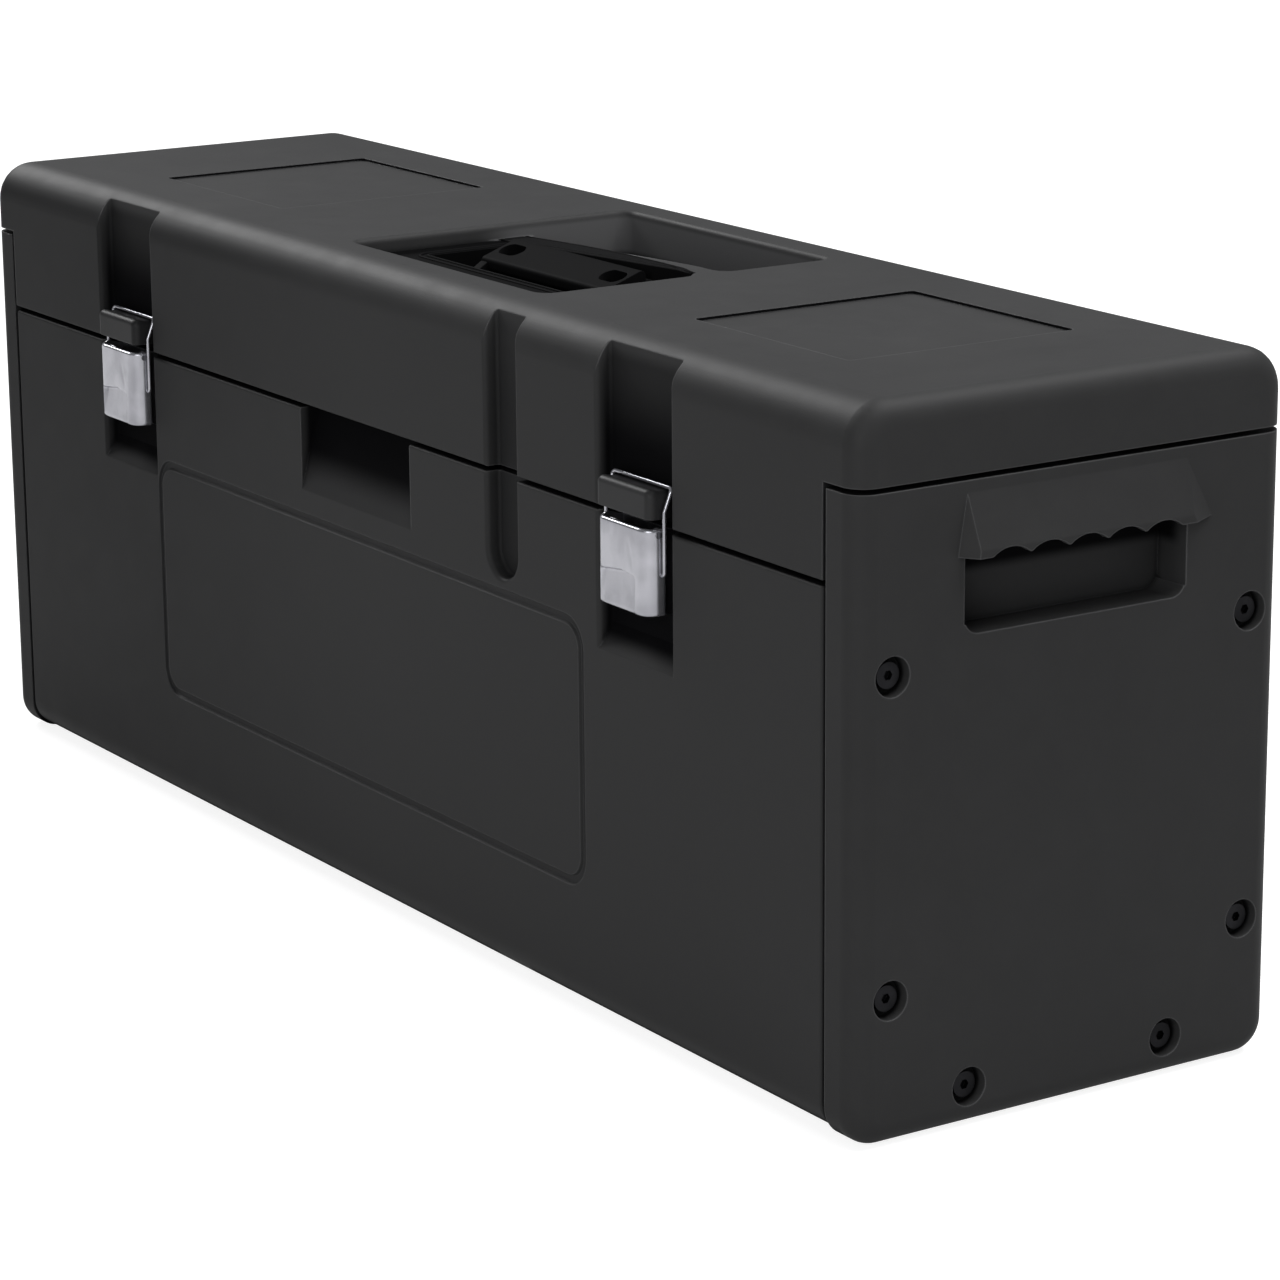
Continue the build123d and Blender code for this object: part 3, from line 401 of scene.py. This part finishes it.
# %% [markdown]
# ## A finish for every piece
# The record says which slot each CAD node belongs to, so one short loop dresses the whole frame. The two
# keepers share a slot with the handle, but they are paler, so they get a plastic of their own.

# %% Give each node its finish
for part in frame["record"]["subparts"]:
    piece = nodes[part["node"]]
    piece.data.materials.clear()
    piece.data.materials.append(finishes[part["material_slot"]])
for name in ("keeper_left", "keeper_right"):
    nodes[name].data.materials[0] = finishes["keeper_plastic"]

# %% [markdown]
# ## Grids and tubes
# Most new pieces are a grid of points: rows run along one parameter and columns along another. One helper
# turns such an array into a mesh, so each piece only has to say where its points are.


# %% Skin helper
def add_piece(name, mesh):
    """Object in the scene that shows a mesh."""
    piece = bpy.data.objects.new(name, mesh)
    scene.collection.objects.link(piece)
    return piece


def shade(mesh, sharp):
    """Smooth shading, apart from edges that turn by more than an angle in degrees."""
    mesh.shade_smooth()
    mesh.set_sharp_from_angle(angle=math.radians(sharp))


def skin(name, points, sharp, closed=False):
    """Mesh of a grid of points with shape (rows, columns, 3), as a capped tube where it is closed."""
    rows, columns = points.shape[:2]
    index = np.arange(rows * columns).reshape(rows, columns)
    across = np.roll(index, -1, axis=1) if closed else index[:, 1:]
    near = index if closed else index[:, :-1]
    faces = np.stack([near[:-1], across[:-1], across[1:], near[1:]], axis=-1).reshape(-1, 4).tolist()
    if closed:
        faces += [index[0, ::-1].tolist(), index[-1].tolist()]
    mesh = bpy.data.meshes.new(name)
    mesh.from_pydata(points.reshape(-1, 3).tolist(), [], faces)
    mesh.update()
    shade(mesh, sharp)
    return add_piece(name, mesh)


def arc(centre, radius, start, end, count):
    """Points on a circle: centre plus radius times the cosine and sine of angles in degrees."""
    angles = np.radians(np.linspace(start, end, count))
    return np.stack([centre[0] + radius * np.cos(angles), centre[1] + radius * np.sin(angles)], axis=1)


def rise(value, start, width, least=0):
    """Least below the start, then straight up to 1 over a width."""
    return np.clip((value - start) / width, least, 1)


def fall(value, end, width, least=0):
    """1 until a width before the end, then straight down to least."""
    return np.clip((end - value) / width, least, 1)


# %% [markdown]
# ## Softened mouldings
# The carry handle and its tray have the right shape already, but a moulded piece has no sharp edge for a
# hand to feel. A copy of the CAD mesh is welded, its flat triangles are joined into whole faces, and a
# Bevel modifier rounds every edge that turns by more than 30 degrees. The node itself stays as it was.

# %% Soft copies of moulded nodes
weld_distance, flat_angle, round_angle, sharp_angle = 0.000005, 1.0, 30, 40


def softened(name, node, body, width, material):
    """Welded copy of a node with all of its sharp edges rounded by one width in metres."""
    mesh = nodes[node].data.copy()
    mesh.name = name
    shape = bmesh.new()
    shape.from_mesh(mesh)
    bmesh.ops.remove_doubles(shape, verts=shape.verts, dist=weld_distance)
    bmesh.ops.dissolve_limit(shape, angle_limit=math.radians(flat_angle), verts=shape.verts,
                             edges=shape.edges)
    shape.to_mesh(mesh)
    shape.free()
    shade(mesh, sharp_angle)
    mesh.materials.clear()
    mesh.materials.append(material)
    piece = add_piece(name, mesh)
    rounding = piece.modifiers.new("rounding", "BEVEL")
    rounding.width = width
    rounding.segments = 3
    rounding.limit_method = "ANGLE"
    rounding.angle_limit = math.radians(round_angle)
    rounding.harden_normals = True
    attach(piece, body)
    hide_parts(node)
    print(name, len(mesh.polygons))
    return piece


soft_handle = softened("soft_carry_handle", "carry_handle", "handle", 0.0011, finishes["handle_plastic"])
soft_tray = softened("soft_handle_tray", "handle_tray", "lid", 0.0006, finishes["black_plastic"])

# %% [markdown]
# ## Trims of the handle tray
# The tray ends in a lip that lies over the ridge behind the handle, with a groove along each of its
# long edges. The ridge falls from 330 mm at the right to 322 mm at the left, so the lip is a closed
# section that follows that height while it is swept along x. Two beads run round the basin in front.

# %% Tray lip and beads
lip_left, lip_right = -0.0625, 0.1165
ridge_left, ridge_run, ridge_low = -0.064, 0.172, 0.322
lip_rise, groove_rise, lip_skirt = 0.0008, 0.0001, 0.0006
bead_height, bead_radius, bead_back = 0.3218, 0.0008, 0.0005


def tray_lip(name):
    """Section swept along x: height 322 mm plus 8/172 of the way from the left wall, two grooves sunk."""
    along = np.linspace(lip_left, lip_right, 90)
    fade = fall(along, lip_right, 0.012, 0.1) * rise(along, -0.0637, 0.003, 0.1)
    slope = (case_top - ridge_low) * (along - ridge_left) / ridge_run
    ridge = np.minimum(case_top, ridge_low + slope)
    back = 0.0194 - rise(along, -0.010, 0.1265) ** 1.6 * 0.0140
    skirt, crown, groove = ridge - lip_skirt, ridge + lip_rise * fade, ridge + groove_rise * fade
    section = [
        (back + 0.0001, skirt), (back, ridge + 0.0004 * fade), (back - 0.0004, crown),
        (back - 0.0010, crown), (back - 0.0014, groove), (back - 0.0026, groove), (back - 0.0030, crown),
        (0.0058, crown), (0.0054, groove), (0.0046, groove), (0.0042, crown),
        (0.0030, crown), (0.0025, ridge + 0.0002 * fade),
        (0.0024, 0.3220), (0.0014, 0.3217), (0.0036, 0.3214), (0.0038, skirt)]
    columns = [np.stack(np.broadcast_arrays(along, y, z), axis=-1) for y, z in section]
    return skin(name, np.stack(columns, axis=1), sharp=30.0, closed=True)


def bead(name, left, right, front, corner):
    """Tube along three sides of a rounded rectangle in plan: circles in the plane across the path."""
    path = np.vstack([[[left, bead_back]], arc((left + corner, front + corner), corner, 180, 270, 12),
                      arc((right - corner, front + corner), corner, 270, 360, 12), [[right, bead_back]]])
    heading = np.gradient(path, axis=0)
    heading /= np.linalg.norm(heading, axis=1)[:, None]
    around = np.radians(np.arange(12) * 30.0)
    across = bead_radius * np.cos(around)
    x = path[:, :1] - heading[:, 1:] * across
    y = path[:, 1:] + heading[:, :1] * across
    z = np.broadcast_to(bead_height + bead_radius * np.sin(around), x.shape)
    return skin(name, np.stack([x, y, z], axis=-1), sharp=60.0, closed=True)


for trim in (tray_lip("tray_lip"),
             bead("tray_bead_outer", -0.0500, 0.1060, -0.0555, 0.009),
             bead("tray_bead_inner", -0.0460, 0.1020, -0.0512, 0.005)):
    trim.data.materials.append(finishes["handle_plastic"])
    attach(trim, "lid")
    print(trim.name, len(trim.data.polygons))

# %% [markdown]
# ## Latch levers
# A latch lever is pressed from one sheet: a front face whose sides are folded back into flanges, and
# whose top and bottom edges are rolled in. It could be modelled by bevelling a box, but a U-shaped
# outline that is carried up the height gives round folds directly. The place for a fingertip is a dent
# added by a formula, with a faint crease above it.

# %% Latch levers
lever_low, lever_height = 0.2090, 0.0403
lever_face, lever_rear, lever_half = -0.1250, -0.1150, 0.0220
lever_centres = {"left": -0.2555, "right": 0.2495}
fold, flange, roll_radius, sheet = 0.0078, 0.0088, 0.0014, 0.0012
bottom_inset, top_inset = 0.0036, 0.0019
dent_left, dent_right, dent_top = -0.0175, 0.0120, 0.0190
dent_shallow, dent_growth, crease_depth = 0.0005, 0.0023, 0.0003


def lever_outline():
    """U in plan, from the left flange round the front to the right one, with both folds as arcs."""
    reach = lever_half - fold
    face = np.stack([np.linspace(-reach, reach, 62)[1:-1], np.full(60, lever_face)], axis=1)
    return np.vstack([[[-lever_half, lever_rear], [-lever_half, lever_face + flange]],
                      arc((-reach, lever_face + fold), fold, 180, 270, 11), face,
                      arc((reach, lever_face + fold), fold, 270, 360, 11),
                      [[lever_half, lever_face + flange], [lever_half, lever_rear]]])


def lever_section():
    """Inset and height of the sheet from the bottom to the top: quarter circles at both ends."""
    bend = np.radians(np.linspace(90, 0, 7))
    inset = roll_radius - roll_radius * np.cos(bend)
    low = np.stack([inset, roll_radius - roll_radius * np.sin(bend)], axis=1)
    high = np.stack([inset, lever_height - roll_radius + roll_radius * np.sin(bend)], axis=1)[::-1]
    heights = np.linspace(roll_radius, lever_height - roll_radius, 62)[1:-1]
    middle = np.stack([np.zeros(60), heights], axis=1)
    return np.vstack([[[bottom_inset, 0.0]], low, middle, high, [[top_inset, lever_height]]])


def lever_relief(x, z):
    """How far the face is pressed in: a smooth dent, deeper towards its top, and a crease above it."""
    side = rise(x, dent_left, 0.0012) * fall(x, dent_right, 0.0014)
    upright = fall(z, dent_top - 0.12 * np.abs(x), 0.0014) * rise(z, -0.0004, 0.0008)
    soft = side * upright
    dent = soft ** 2 * (3 - 2 * soft)
    slant = np.abs(x - 0.0105 + 0.30 * (z - dent_top))
    crease = fall(slant, 0.0022, 0.0022) * rise(z, dent_top, 0.004) * fall(z, 0.036, 0.006)
    return dent * (dent_shallow + dent_growth * rise(z, 0.0, dent_top)) + crease * crease_depth


def pressed_lever(name, centre):
    """Outline moved inwards by the inset of each height, plus the relief where it faces the front."""
    outline, section = lever_outline(), lever_section()
    inward = np.zeros_like(outline)
    inward[:, 0] = -rise(np.abs(outline[:, 0]), lever_half - fold, fold) * np.sign(outline[:, 0])
    inward[:, 1] = np.sqrt(np.clip(1 - inward[:, 0] ** 2, 0, 1))
    inset = section[:, :1]
    x = outline[None, :, 0] + inward[None, :, 0] * inset
    y = outline[None, :, 1] + inward[None, :, 1] * inset
    z = np.broadcast_to(section[:, 1:], x.shape)
    front = fall(outline[None, :, 1], lever_face + 0.0012, 0.0006)
    y = y + front * lever_relief(x, z)
    return skin(name, np.stack([x + centre, y, z + lever_low], axis=-1), sharp=60.0)


for side, centre in lever_centres.items():
    lever = pressed_lever("pressed_lever_" + side, centre)
    wall = lever.modifiers.new("sheet", "SOLIDIFY")
    wall.thickness = sheet
    wall.offset = -1.0
    lever.data.materials.append(finishes["plated_steel"])
    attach(lever, "lever_" + side)
    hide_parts("latch_lever_" + side)
    print(lever.name, len(lever.data.polygons))

# %% [markdown]
# ## Floor
# The case stands on pale paper. The paper keeps the shadow of the case, and a glow that only the camera
# and mirrors see lifts the rest of it to white, so that no extra light falls on the case.

# %% Floor
reach, floor_level = 12.0, -0.0003
glow_seen, glow_mirrored, paper_grey = 0.85, 0.42, 0.42
corners = [(x * reach, y * reach, floor_level) for x, y in ((-1, -1), (1, -1), (1, 1), (-1, 1))]
floor_mesh = bpy.data.meshes.new("floor")
floor_mesh.from_pydata(corners, [], [(0, 1, 2, 3)])
floor = add_piece("floor", floor_mesh)
floor_material, place = new_material("floor")
rays = place.make("ShaderNodeLightPath")
seen, mirrored = rays.output("Is Camera Ray"), rays.output("Is Glossy Ray")
bright = (seen * glow_seen).at_least(mirrored * glow_mirrored)
paper = place.make("ShaderNodeBsdfDiffuse", {"Color": (paper_grey, paper_grey, paper_grey, 1)})
glow = place.make("ShaderNodeEmission", {"Color": (1, 1, 1, 1), "Strength": bright})
floor_mesh.materials.append(finish_material(floor_material, place.make("ShaderNodeAddShader",
                                                                       {0: paper, 1: glow})))
